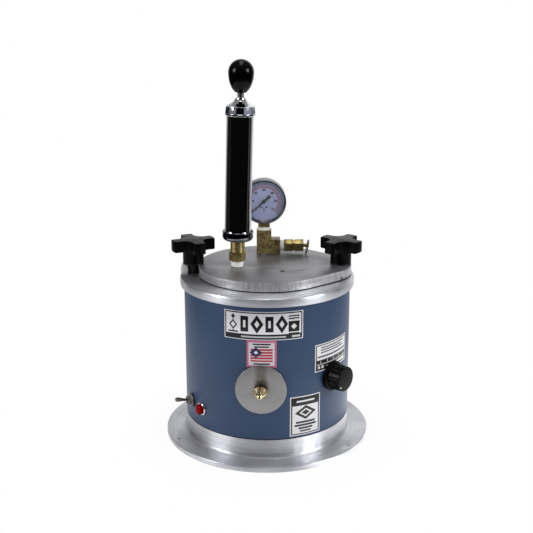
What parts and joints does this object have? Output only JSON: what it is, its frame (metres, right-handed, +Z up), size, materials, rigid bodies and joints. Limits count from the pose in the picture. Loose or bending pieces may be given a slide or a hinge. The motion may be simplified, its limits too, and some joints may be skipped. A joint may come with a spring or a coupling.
{
  "type": "jewelry wax injector",
  "caption": "Round heated wax tank with a bolted swing lid, hand air pump, pressure gauge, relief valve, dial thermostat and a spring-loaded nozzle at the front.",
  "frame": {"origin": "bottom centre of the base flange, on the table", "axes": "+Z up along the tank; the nozzle points towards -Y; the pivot stud of the lid is at +X"},
  "size_m": [0.254, 0.254, 0.464],
  "materials": {
    "bright_aluminium": "turned, satin",
    "lid_aluminium": "machined plate, dull",
    "blue_paint": "semi-gloss enamel",
    "chrome": "polished plating",
    "brass": "machined",
    "steel": "brushed",
    "black_plastic": "moulded phenolic",
    "black_gloss": "polished",
    "black_enamel": "gloss enamel",
    "rubber": "moulded",
    "white_tape": "thread seal tape",
    "glass": "clear",
    "dial_white": "printed dial",
    "red_lens": "translucent",
    "plate_silver": "printed foil plate",
    "label_white": "vinyl",
    "leather": "oiled",
    "insulation": "glass felt"
  },
  "bodies": {
    "housing": {"base_ring": "bright_aluminium", "bottom_plate": "steel", "bottom_screws": "steel", "body_shell": "blue_paint", "tank": "bright_aluminium", "lid_seal": "rubber", "clamp_studs": "steel", "heel_block": "bright_aluminium", "tie_rods": "steel", "tie_rod_nuts": "steel", "heater_band": "steel", "heater_screw": "steel", "insulation_ring": "insulation", "thermostat_body": "black_plastic", "thermostat_nut": "steel", "switch_body": "black_plastic", "switch_nut": "chrome", "switch_washer": "steel", "lamp_bezel": "chrome", "lamp_lens": "red_lens", "nozzle_disc": "steel", "valve_body": "brass", "packing_nut": "brass", "valve_spring": "steel", "cord_gland": "black_plastic", "name_plate": "plate_silver", "labels": "label_white"},
    "lid": {"lid": "lid_aluminium", "lid_plug": "steel", "pump_adapter": "brass", "thread_tape": "white_tape", "pump_base_cap": "chrome", "pump_barrel": "chrome", "pump_top_cap": "chrome", "tee": "brass", "gauge_case": "black_enamel", "gauge_stem": "brass", "gauge_movement": "brass", "gauge_dial": "dial_white", "gauge_bezel": "black_enamel", "gauge_lens": "glass", "relief_body": "brass", "relief_spring": "steel"},
    "pump_plunger": {"pump_rod": "chrome", "pump_piston": "brass", "pump_cup": "leather", "pump_ball": "black_gloss"},
    "needle": {"gauge_needle": "black_enamel"},
    "relief_stem": {"relief_stem": "brass"},
    "pull_ring": {"pull_ring": "steel"},
    "nozzle": {"nozzle_tip": "brass"},
    "thermostat_dial": {"thermostat_knob": "black_plastic", "thermostat_shaft": "steel"},
    "switch_lever": {"switch_lever": "chrome"},
    "left_washer": {"clamp_washer_left": "steel"},
    "left_knob": {"clamp_knob_left": "black_plastic"},
    "right_washer": {"clamp_washer_right": "steel"},
    "right_knob": {"clamp_knob_right": "black_plastic"}
  },
  "joints": [
    {"name": "lid_swing", "type": "hinge", "parent": "housing", "child": "lid", "pos_m": [0.09, 0, 0.2116], "axis": [0, 0, 1], "range_deg": [-135, 0]},
    {"name": "pump_stroke", "type": "slide", "parent": "lid", "child": "pump_plunger", "axis": [0.0279, 0, 0.9996], "range_m": [0, 0.12]},
    {"name": "needle_turn", "type": "hinge", "parent": "lid", "child": "needle", "pos_m": [-0.0039, 0.04, 0.2862], "axis": [0, 1, 0], "range_deg": [0, 270], "stiffness_Nm_per_rad": 0.0002},
    {"name": "relief_pull", "type": "slide", "parent": "lid", "child": "relief_stem", "axis": [1, 0, 0], "range_m": [0, 0.0025], "stiffness_N_per_m": 600, "springref_m": -0.002, "deforming": ["relief_spring"]},
    {"name": "ring_swing", "type": "hinge", "parent": "relief_stem", "child": "pull_ring", "pos_m": [0.0503, 0.046, 0.228], "axis": [0.2079, 0, 0.9781], "range_deg": [-40, 0]},
    {"name": "nozzle_press", "type": "slide", "parent": "housing", "child": "nozzle", "axis": [0.0698, 0.9976, 0], "range_m": [0, 0.003], "stiffness_N_per_m": 1500, "springref_m": -0.002, "deforming": ["valve_spring"]},
    {"name": "thermostat_turn", "type": "hinge", "parent": "housing", "child": "thermostat_dial", "pos_m": [0.08364, -0.07144, 0.0975], "axis": [-0.7604, 0.6494, 0], "range_deg": [0, 290]},
    {"name": "switch_flip", "type": "hinge", "parent": "housing", "child": "switch_lever", "pos_m": [-0.09417, -0.04553, 0.0565], "axis": [0.4352, -0.9003, 0], "range_deg": [0, 24]},
    {"name": "left_clamp_lift", "type": "slide", "parent": "housing", "child": "left_washer", "axis": [0, 0, 1], "range_m": [0, 0.00476]},
    {"name": "left_clamp_turn", "type": "hinge", "parent": "left_washer", "child": "left_knob", "pos_m": [-0.09, 0, 0.235], "axis": [0, 0, 1], "range_deg": [0, 1080]},
    {"name": "right_clamp_lift", "type": "slide", "parent": "housing", "child": "right_washer", "axis": [0, 0, 1], "range_m": [0, 0.00476]},
    {"name": "right_clamp_turn", "type": "hinge", "parent": "right_washer", "child": "right_knob", "pos_m": [0.09, 0, 0.235], "axis": [0, 0, 1], "range_deg": [0, 1080]}
  ],
  "couplings": [
    {"joint": "left_clamp_turn", "follows": "left_clamp_lift", "rad_per_m": 3957.9},
    {"joint": "right_clamp_turn", "follows": "right_clamp_lift", "rad_per_m": 3957.9}
  ]
}
